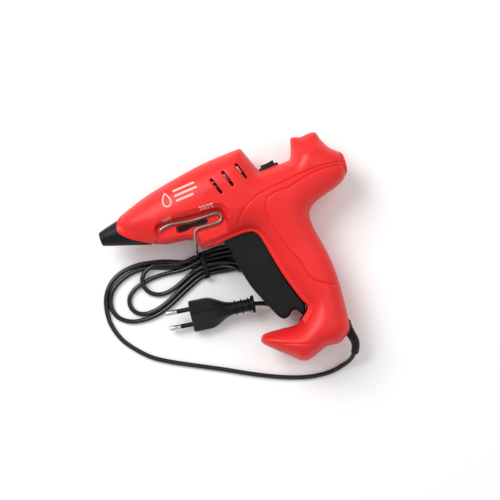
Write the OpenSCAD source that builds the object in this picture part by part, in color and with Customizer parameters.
// Trigger-fed hot glue gun, lying on its right side.
// The pieces are drawn about the glue axis: x runs from the nozzle tip to the rear,
// y towards the top of the gun and z towards its left side, then in_frame() stands
// the whole gun on the surface with its origin under its middle.

/* [Housing] */
// Thickness across the two housing halves
body_t = 52; // [46:1:62]
// Wall of the housing
wall = 2.4; // [1.8:0.1:2.9]
// From the glue axis down to the foot of the handle
handle_drop = 136; // [120:1:165]
// Gap left round each piece that moves
play = 0.4; // [0.3:0.05:0.6]

/* [Glue path] */
// Diameter of the glue stick
stick_d = 11.2; // [9.5:0.1:11.8]
// Clearance round the stick in its guide
stick_gap = 0.25; // [0.2:0.05:0.4]
// Outer diameter of the melt chamber
chamber_d = 19; // [17:0.5:19.4]
// Orifice of the nozzle
orifice_d = 1.8; // [1:0.1:2.5]

/* [Trigger] */
// Width of the trigger's paddle
trigger_w = 18; // [12:0.5:20]
// Diameter of the trigger's pin
pin_d = 4; // [3:0.5:5]
// Radial running clearance on the trigger's pin
pin_gap = 0.05; // [0.03:0.01:0.09]
// Diameter of the carriage's drive studs
stud_d = 4; // [3:0.5:5]

/* [Stand] */
// Diameter of the stand's wire
wire_d = 2; // [1.6:0.1:2.6]
// Height of the pocket's floor from the parting plane
pocket_z = 16; // [15:0.5:18]

/* [Controls] */
// Length of the power rocker's frame along the deck
switch_l = 15; // [12:0.5:16]
// Width of the power rocker's frame
switch_w = 11; // [9:0.5:14]
// Travel of the temperature knob
knob_travel = 15; // [10:1:15]

/* [Mains lead] */
// Diameter of the cord
cord_d = 3.6; // [3:0.1:4.5]

/* [Hidden] */
$fn = 48;
big = 400;
red = "#dd3430";
black = "#1d1f20";

// Below this height the handle's outline stretches with handle_drop
neck_y = -34;
drawn_drop = 136;
function down(y) = y > neck_y ? y : neck_y + (y - neck_y) * (handle_drop + neck_y) / (drawn_drop
  + neck_y);
function stretched(pts) = [for (p = pts) [p.x, down(p.y)]];

// Outline of the housing from the side, in stretches that run round from the nose
top_line = [[15, 4.5], [16.8, 9.2], [21.5, 12.9], [32, 17.2], [45, 21.6], [60, 25.4], [75, 28.6],
  [90, 31.4], [105, 33.2], [122, 34.4], [124.3, 32.6]];
deck_line = [[127.2, 26], [131, 16], [132.6, 13], [156, 14.4], [157.8, 17], [161, 27], [163.4, 30.1],
  [170, 29], [176, 29.7], [181, 29.7], [183, 27.6]];
rear_line = [[184.6, 21.5], [188.2, 15], [193.8, 10.4], [196.8, 7.2], [197, 1], [195, -5.5],
  [191, -11.4], [185, -15.4], [174, -19.4], [166, -23.2], [160.6, -27.6], [158.8, -32]];
handle_back = [[159, -40], [160.8, -50], [163.4, -64], [164.8, -80], [164.2, -100], [162.8, -118],
  [160.5, -124]];
foot_line = [[156, -128], [149.5, -131], [141, -130.4], [134, -133], [124, -136.2], [119.5, -135.2],
  [111, -128], [96, -115], [94, -111], [96.5, -107.8], [101, -106.8], [112, -107.2],
  [123.5, -107.6], [129.5, -103.4], [134, -99.4], [135.8, -95.5]];
handle_front = [[133.4, -91], [125.6, -69], [121.5, -53], [118.6, -40], [116.4, -33], [113.2, -29.6],
  [108, -28.6]];
belly_line = [[95, -29.3], [84, -30.6], [75, -30.7], [71.6, -29], [69, -23.6], [65.5, -21.2],
  [58, -20], [49, -19.2], [42, -17.2], [36, -14.6], [29.5, -11], [23, -7.2], [17.5, -2.6], [15.2, 1]];
outline = stretched(concat(top_line, deck_line, rear_line, handle_back, foot_line, handle_front,
  belly_line));
edges = [for (i = [0:len(outline) - 1]) [outline[i], outline[(i + 1) % len(outline)]]];

mid_x = max([for (p = outline) p.x]) / 2;
mid_y = (min([for (p = outline) p.y]) + max([for (p = outline) p.y])) / 2;

// Half thickness of the housing: along the barrel, then down the handle, then up the fin
function barrel_half(x) = body_t / 2 * lookup(x, [[14, 0.55], [25, 0.7], [45, 0.88], [70, 0.97],
  [95, 1.05], [130, 1.05], [150, 0.92], [165, 0.78], [197, 0.68]]);
function handle_half(y) = body_t / 2 * lookup(-y, [[-10, 1], [10, 1], [28, 0.86], [50, 0.68], [95, 0.68],
  [118, 0.86], [130, 1.05]]);
function fin_half(y) = body_t / 2 * lookup(y, [[10, 1], [20, 0.52], [31, 0.3]]);
function half_t(p) = min(
  barrel_half(p.x),
  handle_half(p.y < neck_y ? p.y * drawn_drop / handle_drop : p.y),
  p.x > 140 ? fin_half(p.y) : body_t);

// How far a point lies inside the outline, and the rounded height of the side there
function to_edge(p, e) =
  let (d = e[1] - e[0], t = max(0, min(1, ((p - e[0]) * d) / (d * d)))) norm(p - e[0] - t * d);
function crosses(p, e) = (e[0].y > p.y) != (e[1].y > p.y)
  && p.x < (e[1].x - e[0].x) * (p.y - e[0].y) / (e[1].y - e[0].y) + e[0].x;
function inside(p) = len([for (e = edges) if (crosses(p, e)) 1]) % 2 == 1;
function depth(p) = (inside(p) ? 1 : -1) * min([for (e = edges) to_edge(p, e)]);
edge_share = 0.3;
function round_up(t) = edge_share + (1 - edge_share) * (t < 0 ? 3 * t : 1 - pow(1 - t, 3));
function side_z(p) = min(body_t / 2, half_t(p) * round_up(min(1, depth(p) / half_t(p))));

// One side of the housing as a surface over a square grid, sunk by a wall's thickness
cell = 4;
grid_x = [for (x = [12:cell:200]) x];
grid_y = [for (y = [36:-cell:down(-140)]) y];
module side_surface(sink) {
  cols = len(grid_x);
  rows = len(grid_y);
  top = [for (y = grid_y) for (x = grid_x) [x, y, max(-0.9, min(body_t / 2, side_z([x, y]) - sink))]];
  low = [for (y = grid_y) for (x = grid_x) [x, y, -1]];
  n = cols * rows;
  rim = concat([for (i = [0:cols - 2]) [i, i + 1]],
    [for (j = [0:rows - 2]) [j * cols + cols - 1, (j + 1) * cols + cols - 1]],
    [for (i = [cols - 2:-1:0]) [(rows - 1) * cols + i + 1, (rows - 1) * cols + i]],
    [for (j = [rows - 2:-1:0]) [(j + 1) * cols, j * cols]]);
  quads = [for (j = [0:rows - 2]) for (i = [0:cols - 2])
    let (a = j * cols + i) [a, a + 1, a + cols + 1, a + cols]];
  polyhedron(
    points = concat(top, low),
    faces = concat(
      [for (q = quads) each [[q[0], q[1], q[2]], [q[0], q[2], q[3]]]],
      [for (q = quads) each [[q[2] + n, q[1] + n, q[0] + n], [q[3] + n, q[2] + n, q[0] + n]]],
      [for (e = rim) each [[e[0], e[0] + n, e[1] + n], [e[0], e[1] + n, e[1]]]]));
}

// Places of the pieces
parting = 0.1;
trigger_at = [116, -20];
hub_r = pin_d / 2 + 2.6;
stud_at = [119.2, -2];
stand_at = [46, -8];
wire_z = pocket_z + wire_d / 2 + 0.5;
channel_z = pocket_z - wall;
knob_at = [63.2, -11.2];
knob_l = 8;
knob_w = 4;
stem_l = 2.8;
stem_w = 2.4;
end_gap = 0.6;
deck_at = [139.6, 13.4];
deck_turn = 3.4;
stick_r = stick_d / 2 + stick_gap;
chamber_r = chamber_d / 2;
carriage_w = 20;
arm_t = 2.5;
arm_gap = carriage_w / 2 + 0.8;
pin_half = arm_gap + arm_t + play + 3;
boot_root = [161, down(-122), 0];
boss_places = [[86, 24], [146.2, -30], [137, down(-119)], [110, down(-115)], [174, 21]];
boss_r = 3.4;
screw_r = 1.4;
plug_face = [47.9, -77.9];
plug_turn = -6;
plug_roll = 48;
pin_pitch = 18.6;
plug_half = 17.2;
sleeve_r = 1.8;
pin_r = 2;
pin_core_r = 1.3;
pin_l = 19;
plug_deep = 17;
neck_from = 33;
neck_to = 50;
neck_r = 4.6;
rib_r = 5.6;
plug_tall = 13.6;
plug_z = (plug_half + 0.2) * sin(plug_roll) + 0.35 - body_t / 2;

module in_frame() {
  translate([-mid_x, -mid_y, body_t / 2]) children();
}
module along_x(x, y = 0, z = 0) {
  translate([x, y, z]) rotate([0, 90, 0]) children();
}
module ring(x, len, outer, inner) {
  along_x(x) difference() {
    cylinder(h = len, r = outer);
    translate([0, 0, -1]) cylinder(h = len + 2, r = inner);
  }
}

// A round tube swept along points, its radius given for each point
function unit(v) = v / norm(v);
function turn_of(pts, i) = unit(pts[min(i + 1, len(pts) - 1)] - pts[max(i - 1, 0)]);
function side_of(t) = unit(cross(t, abs(t.z) > 0.9 ? [0, 1, 0] : [0, 0, 1]));
module swept(pts, radii, sides = 8) {
  count = len(pts);
  rings = [for (i = [0:count - 1]) let (t = turn_of(pts, i), a = side_of(t), b = cross(t, a))
    for (k = [0:sides - 1]) let (w = 360 * (k + 0.5) / sides)
      pts[i] + radii[i] * (cos(w) * a + sin(w) * b)];
  polyhedron(points = rings, faces = concat(
    [[for (k = [0:sides - 1]) k]],
    [[for (k = [sides - 1:-1:0]) (count - 1) * sides + k]],
    [for (i = [0:count - 2]) for (k = [0:sides - 1])
      let (a = i * sides + k, b = i * sides + (k + 1) % sides)
      each [[a, a + sides, b + sides], [a, b + sides, b]]]));
}
// Rounds a route: each corner is replaced by points on a smooth cubic blend
function blend4(a, b, c, d, t) = (a * pow(1 - t, 3) + b * (3 * pow(t, 3) - 6 * t * t + 4)
  + c * (-3 * pow(t, 3) + 3 * t * t + 3 * t + 1) + d * pow(t, 3)) / 6;
function eased(pts, steps) =
  let (n = len(pts), q = concat([2 * pts[0] - pts[1]], pts, [2 * pts[n - 1] - pts[n - 2]]))
  concat([for (i = [0:n - 2]) for (s = [0:steps - 1]) blend4(q[i], q[i + 1], q[i + 2], q[i
    + 3], s / steps)], [pts[n - 1]]);
function same(r, pts) = [for (p = pts) r];

// Housing halves: the left one faces +z
pocket_shape = [[42, -4], [50, -2], [62, -2.6], [90, -4.4], [94.5, -6.5], [96.5, -11], [96, -18],
  [93.5, -24], [90.5, -29], [86, -36], [52, -36], [44, -14], [41, -10]];
slot_shape = stretched([[86, -18], [119, -18], [125, -40], [133, -66], [141, -92], [141.5, -103],
  [131, -107], [124, -99], [84, -36]]);
vent_places = [[97.1, 11.2], [107, 14.1], [118.4, 16.7]];
vent_size = [14, 2.3];
vent_turn = -70;
module vent(at) {
  translate([at.x, at.y, 0]) rotate(vent_turn)
    translate([-vent_size.x / 2, -vent_size.y / 2, 0]) cube([vent_size.x, vent_size.y, big / 4]);
}
module half_shell_form(left) {
  difference() {
    intersection() {
      side_surface(0);
      translate([0, 0, parting / 2]) linear_extrude(big / 4) polygon(outline);
    }
    intersection() {
      side_surface(wall);
      translate([0, 0, -1]) linear_extrude(big / 4) offset(delta = -wall) polygon(outline);
    }
    translate([0, 0, pocket_z]) linear_extrude(big / 4) polygon(pocket_shape);
    translate([0, 0, -1]) linear_extrude(trigger_w / 2 + play + 1) polygon(slot_shape);
    for (at = vent_places) vent(at);
    along_x(-1) cylinder(h = 38.5, r1 = 5.5 + play, r2 = 16.6 + play, $fn = 40);
    along_x(178) cylinder(h = 30, r = stick_r + 2.2 + play, $fn = 40);
    translate([trigger_at.x, trigger_at.y, -1])
      cylinder(h = arm_gap + arm_t + play + 1, r = hub_r + play, $fn = 32);
    at_deck() {
      translate([-switch_l / 2 + 0.6, -7, -1]) cube([switch_l - 1.2, 12, switch_w / 2 + 1.2]);
      translate([-switch_l / 2 - 0.2, 0, -1]) cube([switch_l + 0.4, 5, switch_w / 2 + 1.8]);
    }
    translate([boot_root.x, boot_root.y, 0]) rotate([90, 0, 0])
      translate([0, 0, -6]) cylinder(h = 14, r = 4.4, $fn = 24);
  }
}
// Floor of the pocket, a plate that closes the side behind the stand, and the knob's channel in it
module pocket_floor(left) {
  translate([0, 0, pocket_z - wall]) linear_extrude(wall) intersection() {
    offset(delta = 1) polygon(pocket_shape);
    offset(delta = -3.6) polygon(outline);
  }
  if (left) {
    translate([knob_at.x - knob_l / 2 - wall, knob_at.y - knob_w / 2 - play - 1.8, channel_z - wall])
      cube([knob_travel + knob_l + 2 * wall, knob_w + 2 * play + 3.6, wall]);
  }
}
module knob_channel() {
  for (slot = [[knob_l, knob_w, channel_z], [stem_l, stem_w, 0]])
    translate([knob_at.x - slot.x / 2 - end_gap, knob_at.y - slot.y / 2 - play, slot.z])
      cube([knob_travel + slot.x + 2 * end_gap, slot.y + 2 * play, big / 4]);
}
module bosses(left) {
  for (p = boss_places) translate([p.x, p.y, left ? parting / 2 : 0.6])
    cylinder(h = side_z(p) - wall / 2 - (left ? 0 : 0.6), r = boss_r);
  translate([trigger_at.x, trigger_at.y, arm_gap + arm_t + play]) cylinder(h = 8, r = pin_d / 2 + 2);
}
module half_shell(left) {
  difference() {
    union() {
      resize([0, 0, 0]) difference() {
        union() {
          half_shell_form(left);
          pocket_floor(left);
          intersection() {
            bosses(left);
            side_surface(0.4);
          }
        }
        if (left) knob_channel();
      }
      translate([stand_at.x, stand_at.y, pocket_z - 5]) cylinder(h = 5, r = wire_d / 2 + 2);
    }
    translate([stand_at.x, stand_at.y, pocket_z - 4.5]) cylinder(h = 6, r = wire_d / 2 + 0.15);
    translate([trigger_at.x, trigger_at.y, 0]) cylinder(h = pin_half + 0.6, r = pin_d / 2 + pin_gap);
    for (p = boss_places) translate([p.x, p.y, -1])
      cylinder(h = left ? 11 : side_z(p) - 2 * wall, r = left ? screw_r - 0.05 : screw_r + 0.3);
    if (!left) {
      for (p = boss_places) translate([p.x, p.y, max(4, side_z(p) - 2.5 * wall - 2)])
        cylinder(h = big / 4, r = 2.9);
    }
  }
}
module left_shell() {
  color(red) in_frame() half_shell(true);
}
module right_shell() {
  color(red) in_frame() mirror([0, 0, 1]) half_shell(false);
}

// Soft pads let into the handle, one on each side
grip_edge = stretched([[150, -10], [136, -12], [132, -22], [134, -38], [140, -60], [144, -74],
  [150, -82], [160, -86], [161, -72], [158, -50], [156, -34], [158, -22], [170, -12], [180, -8],
  [168, -6]]);
module grip_pad() {
  difference() {
    intersection() {
      side_surface(-0.5);
      linear_extrude(big / 4) polygon(grip_edge);
    }
    side_surface(0);
  }
}
module left_grip() {
  color("#d83a36") in_frame() resize([0, 0, 0]) difference() grip_pad();
}
module right_grip() {
  color("#d83a36") in_frame() mirror([0, 0, 1]) resize([0, 0, 0]) difference() grip_pad();
}

// Nozzle end
boot_back = 36;
function boot_r(x) = 5.5 + 0.28 * x;
module nozzle_boot() {
  color(black) in_frame() difference() {
    along_x(0.6) cylinder(h = boot_back - 0.6, r1 = boot_r(0.6), r2 = boot_r(boot_back));
    along_x(0) cylinder(h = 12.02, r1 = 2.8, r2 = 5.5);
    along_x(11.9) cylinder(h = 10.1, r = 6.9);
    along_x(21.9) cylinder(h = boot_back, r = chamber_r + 0.5);
  }
}
module nozzle() {
  color("#b58d4a") in_frame() difference() {
    union() {
      along_x(0) cylinder(h = 12, r1 = 2.6, r2 = 5.2);
      along_x(12) cylinder(h = 9, r = 6.6, $fn = 6);
      along_x(21) cylinder(h = 9, r = 4);
    }
    along_x(-1) cylinder(h = 6, r = orifice_d / 2);
    along_x(4) cylinder(h = 27, r = 2.2);
  }
}

// Melt chamber, its heaters and the clip that holds them
chamber_x = 23;
chamber_end = 84;
block = [48, 80];
block_top = 12.6;
module melt_chamber() {
  color("#a7aaad") in_frame() difference() {
    union() {
      along_x(chamber_x) cylinder(h = chamber_end - chamber_x, r = chamber_r);
      for (x = [40.5, 44.5]) along_x(x) cylinder(h = 1.6, r = chamber_r + 2);
      translate([block[0], 0, -8]) cube([block[1] - block[0], block_top, 16]);
      along_x(chamber_end - 1) cylinder(h = 5, r = stick_r + 1.6);
    }
    along_x(chamber_x - 1) cylinder(h = 12, r = 4);
    along_x(chamber_x + 10.9) cylinder(h = 14.1, r1 = 4, r2 = stick_r);
    along_x(chamber_x + 24.9) cylinder(h = 45, r = stick_r);
  }
}
heater_size = [13, 2.4, 13];
module heaters() {
  color("#3b3f45") in_frame() for (x = [block[0] + 2, block[1] - 2 - heater_size.x])
    translate([x, block_top, -heater_size.z / 2]) cube(heater_size);
}
clamp_t = 0.8;
module heater_clamp() {
  color("#c9ccd0") in_frame() translate([block[0] + 6, 0, 0]) difference() {
    translate([0, 5.6, -8 - clamp_t])
      cube([20, block_top + heater_size.y + clamp_t - 5.6, 16 + 2 * clamp_t]);
    translate([-1, 2, -8]) cube([22, block_top + heater_size.y - 2, 16]);
  }
}
sleeve_end = 101;
module inlet_sleeve() {
  color("#d9d4c8") in_frame() difference() {
    along_x(chamber_end) cylinder(h = sleeve_end - chamber_end, r = stick_r + 3.1);
    along_x(chamber_end - 1) cylinder(h = 5, r = stick_r + 1.6);
    along_x(chamber_end + 3.9) cylinder(h = 20, r = stick_r);
  }
}
module sleeve_clip() {
  color("#c9ccd0") in_frame() along_x(chamber_end + 2) rotate_extrude()
    translate([stick_r + 3.1 + 0.6, 0]) circle(r = 0.6, $fn = 16);
}
guide_x = 177;
guide_end = 196;
module rear_guide() {
  color(black) in_frame() difference() {
    union() {
      along_x(guide_x) cylinder(h = guide_end - guide_x, r = stick_r + 2.2);
      along_x(guide_x) cylinder(h = 2.4, r = stick_r + 4);
    }
    along_x(guide_x - 1) cylinder(h = guide_end - guide_x + 2, r = stick_r);
  }
}

// Carriage that feeds the stick, with its rocking jaw and the spring that returns it
carriage_x = [109.5, 129.5];
jaw_at = [118, 13];
jaw_w = 8;
jaw_pin_r = 1.5;
jaw_gap = 0.06;
ear_t = 3;
module carriage() {
  color("#e8e6df") in_frame() difference() {
    union() {
      translate([carriage_x[0], -9, -carriage_w / 2])
        cube([carriage_x[1] - carriage_x[0], 18, carriage_w]);
      for (s = [-1, 1]) translate([jaw_at.x - 5, 8, s * (jaw_w + ear_t + 2 * play) / 2 - ear_t / 2])
        cube([10, 8.5, ear_t]);
      translate([stud_at.x, stud_at.y, -carriage_w / 2 - 4.4])
        cylinder(h = carriage_w + 8.8, r = stud_d / 2);
    }
    along_x(carriage_x[0] - 1) cylinder(h = 30, r = stick_r + 0.4);
    translate([jaw_at.x - 8, 2, -jaw_w / 2 - play]) cube([17, 12, jaw_w + 2 * play]);
    translate([jaw_at.x, jaw_at.y, -15]) cylinder(h = 30, r = jaw_pin_r + jaw_gap);
  }
}
jaw_turn = 5;
module gripper_jaw() {
  color("#b9bcc0") in_frame() difference() {
    union() {
      translate([jaw_at.x, jaw_at.y, -jaw_w / 2]) cylinder(h = jaw_w, r = 3);
      translate([jaw_at.x - 2, 7.4, -jaw_w / 2]) cube([9, 5, jaw_w]);
      for (x = [0:1.8:7]) translate([jaw_at.x - 1 + x, 7.5, -jaw_w / 2])
        linear_extrude(jaw_w) polygon([[-0.9, 0], [0.9, 0], [-0.9, -1.2]]);
      translate([jaw_at.x, jaw_at.y, -jaw_w / 2 - play - 2.6])
        cylinder(h = jaw_w + 2 * play + 5.2, r = jaw_pin_r);
    }
    along_x(carriage_x[0] - 1) cylinder(h = 30, r = stick_r + 0.2);
  }
}
spring_turns = 5;
spring_x = [92.5, 109.2];
module return_spring() {
  steps = spring_turns * 12;
  span = spring_x[1] - spring_x[0] - 1.2;
  coil = [for (i = [0:steps]) let (w = 360 * spring_turns * i / steps)
    [spring_x[0] + 0.6 + span * i / steps, (stick_r + 4.6) * cos(w), (stick_r + 4.6) * sin(w)]];
  color("#c9ccd0") in_frame() swept(coil, same(0.5, coil), 6);
}

// Trigger: the paddle, its hub and the two arms that drive the carriage
paddle = stretched([[90, -23], [88, -30], [92.6, -37], [94.5, -50], [99, -68], [104.5, -81], [111, -93.5],
  [114.2, -98.8], [117.5, -100.4], [122.6, -98], [125.3, -94.7], [131.4, -102], [134.6, -93.5],
  [131.6, -86], [127.4, -72], [123.4, -55], [121.5, -40], [122, -24], [116, -19], [104, -20]]);
paddle_round = 1.5;
module trigger() {
  lean = atan2(stud_at.x - trigger_at.x, stud_at.y - trigger_at.y);
  reach = norm(stud_at - trigger_at);
  color(black) in_frame() difference() {
    union() {
      translate([0, 0, -trigger_w / 2]) linear_extrude(trigger_w)
        offset(r = paddle_round) offset(delta = -paddle_round) polygon(paddle);
      translate([trigger_at.x, trigger_at.y, -arm_gap - arm_t])
        cylinder(h = 2 * (arm_gap + arm_t), r = hub_r);
      for (s = [-1, 1]) translate([trigger_at.x, trigger_at.y, s * (arm_gap + arm_t / 2)]) rotate(-lean)
        translate([-4.4, 0, -arm_t / 2]) cube([8.8, reach + 4.5, arm_t]);
    }
    translate([trigger_at.x, trigger_at.y, -big / 2]) cylinder(h = big, r = pin_d / 2 + pin_gap);
    for (s = [-1, 1]) translate([trigger_at.x, trigger_at.y, s * (arm_gap + arm_t / 2)]) rotate(-lean)
      translate([-stud_d / 2 - 0.35, reach - stud_d, -arm_t]) cube([stud_d + 0.7, 20, 2 * arm_t]);
  }
}
module trigger_pin() {
  color("#c9ccd0") in_frame() translate([trigger_at.x, trigger_at.y, -pin_half])
    cylinder(h = 2 * pin_half, r = pin_d / 2);
}

// Power rocker on the deck
switch_deep = 5.8;
rocker_turn = 10;
module at_deck() {
  translate([deck_at.x, deck_at.y, 0]) rotate(deck_turn) children();
}
module power_switch() {
  color("#15171a") in_frame() at_deck() difference() {
    union() {
      translate([-switch_l / 2, 0, -switch_w / 2 - 0.6]) cube([switch_l, 1.2, switch_w + 1.2]);
      translate([-switch_l / 2 + 0.8, -switch_deep, -switch_w / 2])
        cube([switch_l - 1.6, switch_deep + 0.2, switch_w]);
    }
    translate([-switch_l / 2 + 1.4, -switch_deep + 1, -switch_w / 2 + 1.2])
      cube([switch_l - 2.8, switch_deep + 4, switch_w - 2.4]);
  }
}
module power_rocker() {
  long = switch_l - 2.8 - 2 * play;
  wide = switch_w - 2.4 - 2 * play;
  color("#202326") in_frame() at_deck() translate([0, 0, -wide / 2]) linear_extrude(wide)
    rotate(rocker_turn / 2) polygon([[-long / 2 + 0.3, 0.2], [-1.5, -2.6], [1.5, -2.6],
      [long / 2 - 0.3, 0.2], [long / 2 - 0.3, 2.9], [0, 3.3], [-long / 2 + 0.3, 2.9]]);
}

// Temperature switch behind the pocket, and the knob in its slot
slider_top = channel_z - wall - 0.3;
slider_h = 4;
board_t = 1.6;
stem_deep = 2.5;
module temp_switch() {
  color("#5b6b4a") in_frame() difference() {
    union() {
      translate([knob_at.x - 4.8, knob_at.y - 6, slider_top - slider_h - board_t + 0.1])
        cube([knob_travel + 10.8, 7.6, board_t]);
      translate([knob_at.x - 4, knob_at.y - 4, slider_top - slider_h])
        cube([knob_travel + 8, 6, slider_h]);
    }
    translate([knob_at.x - stem_l / 2 - play, knob_at.y - stem_w / 2 - play, slider_top - stem_deep - play])
      cube([knob_travel + stem_l + 2 * play, stem_w + 2 * play, slider_h]);
  }
}
module temp_knob() {
  color(black) in_frame() difference() {
    union() {
      translate([knob_at.x - knob_l / 2, knob_at.y - knob_w / 2, channel_z + 0.2])
        cube([knob_l, knob_w, pocket_z - channel_z]);
      translate([knob_at.x - stem_l / 2, knob_at.y - stem_w / 2, slider_top - stem_deep])
        cube([stem_l, stem_w, channel_z + 0.3 - slider_top + stem_deep]);
    }
    for (x = [-3, -1.5, 0, 1.5, 3])
      translate([knob_at.x + x - 0.3, knob_at.y - 3, pocket_z - 0.2]) cube([0.6, 6, 1]);
  }
}

// Wire stand: the legs lie in the pockets, and the wire crosses under the belly
stand_turn = 95;
stand_side = [[46, -8], [49, -6.6], [54, -5.4], [62, -6.4], [72, -7.7], [82, -7.7], [90, -7.7],
  [93, -8.9], [93.6, -11.2], [93, -13.5], [90, -14.7], [82, -14.7], [74, -14.8], [70.6, -17.2],
  [68.6, -24], [67.2, -30.5]];
module stand() {
  half = [for (p = stand_side) [p.x, p.y, wire_z]];
  cross_over = [[66.9, -32.6, wire_z - 1.2], [66.8, -33, wire_z - 5], [66.8, -33, 0]];
  way = concat(half, cross_over);
  back = [for (i = [len(way) - 2:-1:0]) [way[i].x, way[i].y, -way[i].z]];
  route = concat(way, back);
  color("#c4c6c8") in_frame() {
    swept(route, same(wire_d / 2, route), 10);
    for (s = [-1, 1]) mirror([0, 0, s < 0 ? 1 : 0])
      translate([stand_at.x, stand_at.y, pocket_z - 4])
        cylinder(h = wire_z - pocket_z + 4.6, r = wire_d / 2);
  }
}

// Leads from the cord to the switches and the heaters
lead_route = [
  [[160, -106, 2], [159.4, -101, 7], [157.6, -93, 10.9], [156.4, -84, 10.9], [155, -66, 10.7],
    [152.8, -50, 10.6], [151, -39, 10.8], [152.6, -27, 12], [150, -12, 15], [143, 0, 14],
    [139, 5.4, 11], [137, 8.4, 8.6]],
  [[156.8, -106, 2], [155.6, -101, 7], [153.4, -94, 11], [151.8, -84, 11], [151, -66, 11],
    [149.4, -52, 11], [143, -36, 14], [136, -20, 17], [124, -12, 17.4], [108, -13.4, 15.4],
    [98, -13, 11], [92, -12.8, 9.4], [87.6, -12.4, 8.4]],
  [[137, 7.6, -8.6], [134, 7.2, -12], [127, 7, -15.4], [116, 10, -15.6], [102, 14, -11],
    [92, 15.6, -7.4], [85, 14.8, -5], [80.2, 13.9, -4.2]]];
module wiring() {
  color("#3d4e8c") in_frame() for (r = lead_route) let (pts = eased(stretched3(r), 2))
    swept(pts, same(0.9, pts), 6);
}
function stretched3(pts) = [for (p = pts) [p.x, down(p.y), p.z]];

// Cord clamp in the foot of the handle, and its two screws
clamp_at = [158.5, down(-112)];
clamp_holes = [-10.6, -5];
module cable_clamp() {
  color("#e8e6df") in_frame() difference() {
    translate([clamp_at.x - 12.6, clamp_at.y - 3.5, 4.2]) cube([14, 7, 3]);
    for (x = clamp_holes) translate([clamp_at.x + x, clamp_at.y, 0])
      cylinder(h = 12, r = screw_r + 0.15);
  }
}
module screw(len, turned = false) {
  rotate([turned ? 180 : 0, 0, 0]) difference() {
    union() {
      cylinder(h = len, r = screw_r - 0.15);
      translate([0, 0, len]) cylinder(h = 1.8, r = 2.5);
    }
    translate([0, 0, len + 0.9]) for (a = [0, 90]) rotate(a) translate([-1.8, -0.3, 0])
      cube([3.6, 0.6, 2]);
  }
}
module clamp_screws() {
  color("#b9bcc0") in_frame() for (x = clamp_holes)
    translate([clamp_at.x + x, clamp_at.y, 1.2]) screw(6);
}
module housing_screws() {
  color("#4a4d50") in_frame() for (p = boss_places) {
    seat = max(4, side_z(p) - 2.5 * wall - 2);
    translate([p.x, p.y, 8]) screw(seat + 8, true);
  }
}

// Mains lead: boot, tube, tied bundle, tail and plug. Heights here are above the surface.
// Raised points of the cord rise with the housing it hangs from.
drawn_t = 52;
function lifted(z) = z < 2 ? z : cord_d / 2 + (z - cord_d / 2) * body_t / drawn_t;
function on_table(pts) = [for (p = pts) [p.x, p.y, lifted(p.z) - body_t / 2]];
boot_route = [[161, -119, 26], [161.6, -123, 25.6], [163.2, -128, 24], [163.8, -133, 21.5],
  [163, -138, 18.2], [161, -142, 14.6]];
lead_points = [[161, -142, 14.6], [157.8, -146.6, 11], [151.4, -150.4, 7], [141.6, -152.4, 3.8],
  [130, -152.2, 2], [118, -149.8, 1.8], [100, -144.4, 1.8], [80, -135.8, 1.8], [60, -126, 1.8],
  [40, -116.2, 1.8], [21, -107.2, 1.8], [7, -98.2, 1.8], [-4.2, -86, 1.8], [-11, -75.8, 1.8],
  [-13.4, -66, 1.8]];
bundle_left = [[-13.4, -56], [-10.6, -43], [4, -32.4], [20, -28], [44, -31.6], [62, -36.4],
  [80, -38], [120, -40]];
bundle_right = [[131, -48], [128, -56], [112, -59], [86, -53.6], [66, -52], [46, -60], [24, -68],
  [4, -70], [-9.8, -67.6]];
tail_points = [[130.2, -57, 1.8], [134.6, -61, 1.8], [140.4, -70, 1.8], [142.4, -80, 1.8],
  [139.4, -90, 1.8], [130, -95.8, 1.8], [120, -94.4, 2.6], [112, -89.4, 6.6], [105, -85, 11],
  [97.6, -83.1, 13.3]];
bundle_h = 7;
relief_r = [4, 2.9];
tie_at = [69, -43.5];
tie_size = [3, 15, 0.3];
tie_turn = -22;
module cord_boot() {
  pts = on_table(stretched3(boot_route));
  last = len(pts) - 1;
  taper = [for (i = [0:last]) relief_r[0] + (relief_r[1] - relief_r[0]) * i / last];
  color(black) in_frame() union() {
    swept(pts, taper, 12);
    translate([boot_root.x, boot_root.y + 3, 0]) rotate([90, 0, 0])
      cylinder(h = 4, r = relief_r[0]);
  }
}
module cord_lead() {
  pts = eased(on_table(lead_points), 2);
  color(black) in_frame() swept(pts, same(cord_d / 2, pts), 8);
}
module cord_bundle() {
  color("#26292b") in_frame() translate([0, 0, -body_t / 2]) linear_extrude(bundle_h)
    offset(r = 3) offset(delta = -3) polygon(concat(bundle_left, bundle_right));
}
module cord_tail() {
  pts = eased(on_table(tail_points), 2);
  color(black) in_frame() swept(pts, same(cord_d / 2, pts), 8);
}
module cord_tie() {
  color("#2c2c2e") in_frame() translate([tie_at.x, tie_at.y, -body_t / 2 + bundle_h])
    rotate(tie_turn) translate([-tie_size.x / 2, -tie_size.y / 2, 0]) cube(tie_size);
}
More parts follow.
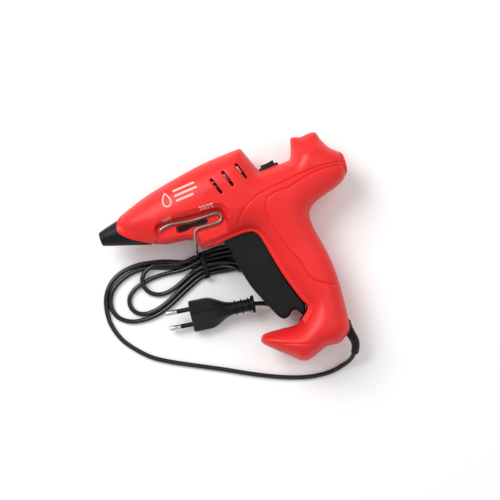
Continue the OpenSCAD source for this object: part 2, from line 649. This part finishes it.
module at_plug() {
  translate([plug_face.x, plug_face.y, plug_z]) rotate([0, 0, plug_turn])
    rotate([plug_roll, 0, 0]) children();
}
module plug_body() {
  hex = [[plug_half, 0], [plug_half - 6, plug_tall / 2], [6 - plug_half, plug_tall / 2], [-plug_half, 0],
    [6 - plug_half, -plug_tall / 2], [plug_half - 6, -plug_tall / 2]];
  color(black) in_frame() at_plug() difference() {
    union() {
      rotate([90, 0, 90]) linear_extrude(plug_deep) polygon(hex);
      hull() {
        translate([plug_deep - 0.1, 0, 0]) rotate([90, 0, 90]) linear_extrude(0.1) polygon(hex);
        along_x(neck_from) cylinder(h = 0.1, r = neck_r + 0.8, $fn = 24);
      }
      along_x(neck_from) cylinder(h = neck_to - neck_from, r = neck_r);
      for (x = [neck_from + 1.5:3:neck_to - 4]) along_x(x) cylinder(h = 1.6, r = rib_r);
      along_x(neck_to - 2) cylinder(h = 2, r = rib_r + 1.4);
    }
    for (s = [-1, 1]) along_x(-1, s * pin_pitch / 2) cylinder(h = 5, r = pin_core_r);
  }
}
module plug_sleeves() {
  color("#111214") in_frame() at_plug() for (s = [-1, 1])
    translate([0, s * pin_pitch / 2, 0]) ring(-10, 10, sleeve_r, pin_core_r);
}
module plug_pins() {
  color("#c9ccd0") in_frame() at_plug() for (s = [-1, 1]) {
    along_x(-10.1, s * pin_pitch / 2) cylinder(h = 14.1, r = pin_core_r);
    along_x(1 - pin_l, s * pin_pitch / 2) cylinder(h = 8, r = pin_r);
    along_x(-pin_l, s * pin_pitch / 2) cylinder(h = 1, r1 = 1.2, r2 = pin_r);
  }
}

left_shell();
right_shell();
left_grip();
right_grip();
nozzle_boot();
nozzle();
melt_chamber();
heaters();
heater_clamp();
inlet_sleeve();
sleeve_clip();
rear_guide();
carriage();
gripper_jaw();
return_spring();
trigger();
trigger_pin();
power_switch();
power_rocker();
temp_switch();
temp_knob();
stand();
wiring();
cable_clamp();
clamp_screws();
housing_screws();
cord_boot();
cord_lead();
cord_bundle();
cord_tail();
cord_tie();
plug_body();
plug_sleeves();
plug_pins();
